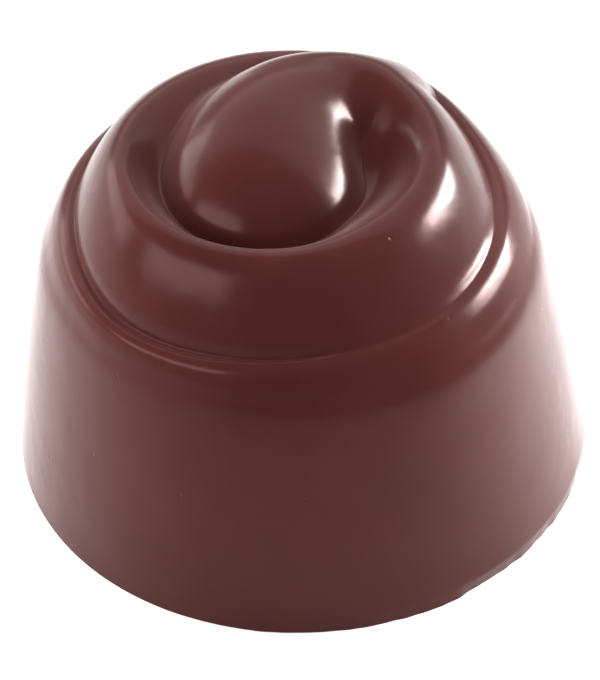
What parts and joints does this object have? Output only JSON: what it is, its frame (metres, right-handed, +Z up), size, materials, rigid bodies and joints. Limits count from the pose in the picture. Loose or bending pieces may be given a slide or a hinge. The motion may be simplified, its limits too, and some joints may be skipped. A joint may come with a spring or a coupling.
{
  "type": "chocolate praline",
  "caption": "Moulded chocolate praline: a tapered round body with a thick rope on top that winds out from a round knob into a ring and sinks into the shoulder.",
  "frame": {"origin": "on the ground, at the centre of the piece's box, under its flat base", "axes": "+Z up through the knob, -Y towards the front of the piece, +X to the right of a person facing its front"},
  "size_m": [0.028, 0.028, 0.02],
  "materials": {
    "chocolate": "glossy"
  },
  "bodies": {
    "root": {"praline": "chocolate"}
  },
  "joints": []
}
